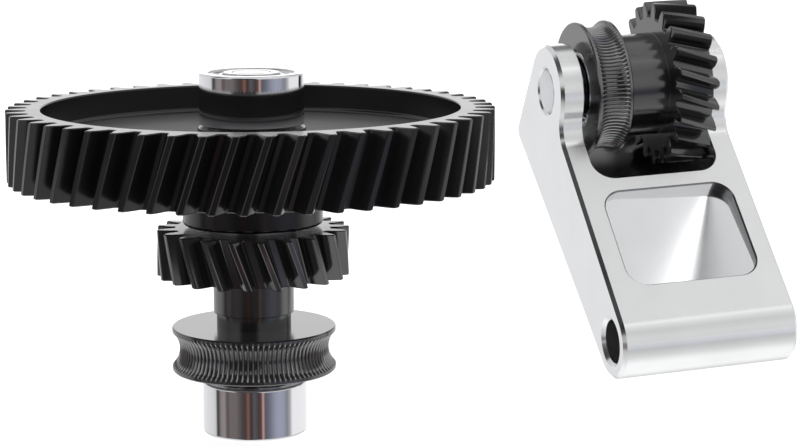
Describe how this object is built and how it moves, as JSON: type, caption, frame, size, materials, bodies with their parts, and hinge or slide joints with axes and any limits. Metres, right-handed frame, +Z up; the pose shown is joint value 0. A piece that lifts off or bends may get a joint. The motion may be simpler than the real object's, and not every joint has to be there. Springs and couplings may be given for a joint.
{
  "type": "extruder gear assembly",
  "caption": "Extruder drive gear shaft with a large helical gear, pinion, feed wheel and end bearings, beside a pivoting idler lever carrying a geared feed wheel.",
  "frame": {"origin": "on the drive shaft's axis, level with the end face of the lower bearing", "axes": "+Z up the drive shaft, from the feed wheel's bearing to the large gear's bearing; +Y away from the viewer, towards the side the lever leans to; the idler lever unit stands on the +X side, its pivot turned 15.7 degrees from +X and leaning back 43.8 degrees"},
  "size_m": [0.0639, 0.061, 0.0312],
  "materials": {
    "black_plastic": "satin black moulded plastic",
    "black_steel": "black oxide machined steel, half gloss",
    "chrome": "ground and polished",
    "steel": "bright turned steel",
    "aluminium": "machined and bead blasted, clear finish"
  },
  "bodies": {
    "housing_side": {"lower_bearing_lower_shield": "steel", "lower_bearing_outer_ring": "chrome", "lower_bearing_upper_shield": "steel", "upper_bearing_lower_shield": "steel", "upper_bearing_outer_ring": "chrome", "upper_bearing_upper_shield": "steel"},
    "drive": {"drive_shaft": "steel", "main_gear": "black_plastic", "drive_pinion": "black_steel", "drive_hob": "black_steel", "gap_ring": "steel", "lower_washer": "steel", "upper_shim": "steel", "lower_bearing_inner_ring": "steel", "upper_bearing_inner_ring": "steel"},
    "lower_balls": {"lower_bearing_ball_cage": "steel"},
    "upper_balls": {"upper_bearing_ball_cage": "steel"},
    "lever": {"idler_lever": "aluminium", "idler_pin": "steel", "idler_bearing_a_inner_ring": "steel", "idler_bearing_b_inner_ring": "steel", "idler_washer_left": "steel", "idler_sleeve": "steel", "idler_washer_right": "steel"},
    "idler": {"idler_hob": "black_steel", "idler_gear": "black_steel", "idler_bearing_a_outer_ring": "chrome", "idler_bearing_b_outer_ring": "chrome"},
    "idler_balls_a": {"idler_bearing_a_ball_cage": "steel"},
    "idler_balls_b": {"idler_bearing_b_ball_cage": "steel"}
  },
  "joints": [
    {"name": "drive_spin", "type": "hinge", "parent": "housing_side", "child": "drive", "pos_m": [0, 0, 0], "axis": [0, 0, 1], "continuous": true},
    {"name": "lower_balls_spin", "type": "hinge", "parent": "housing_side", "child": "lower_balls", "pos_m": [0, 0, 0.002], "axis": [0, 0, 1], "continuous": true},
    {"name": "upper_balls_spin", "type": "hinge", "parent": "housing_side", "child": "upper_balls", "pos_m": [0, 0, 0.0259], "axis": [0, 0, 1], "continuous": true},
    {"name": "lever_pivot", "type": "hinge", "parent": "housing_side", "child": "lever", "pos_m": [0.03689, 0.01846, 0.00363], "axis": [0.9616, 0.2703, 0.0471], "range_deg": [-4, 18]},
    {"name": "idler_spin", "type": "hinge", "parent": "lever", "child": "idler", "pos_m": [0.03208, 0.0321, 0.02357], "axis": [0.9616, 0.2703, 0.0471], "continuous": true},
    {"name": "idler_balls_a_spin", "type": "hinge", "parent": "lever", "child": "idler_balls_a", "pos_m": [0.02852, 0.0311, 0.02339], "axis": [0.9616, 0.2703, 0.0471], "continuous": true},
    {"name": "idler_balls_b_spin", "type": "hinge", "parent": "lever", "child": "idler_balls_b", "pos_m": [0.03612, 0.03324, 0.02377], "axis": [0.9616, 0.2703, 0.0471], "continuous": true}
  ],
  "couplings": [
    {"joint": "lower_balls_spin", "follows": "drive_spin", "ratio": 0.3945},
    {"joint": "upper_balls_spin", "follows": "drive_spin", "ratio": 0.3945},
    {"joint": "idler_balls_a_spin", "follows": "idler_spin", "ratio": 0.5596},
    {"joint": "idler_balls_b_spin", "follows": "idler_spin", "ratio": 0.5596}
  ]
}
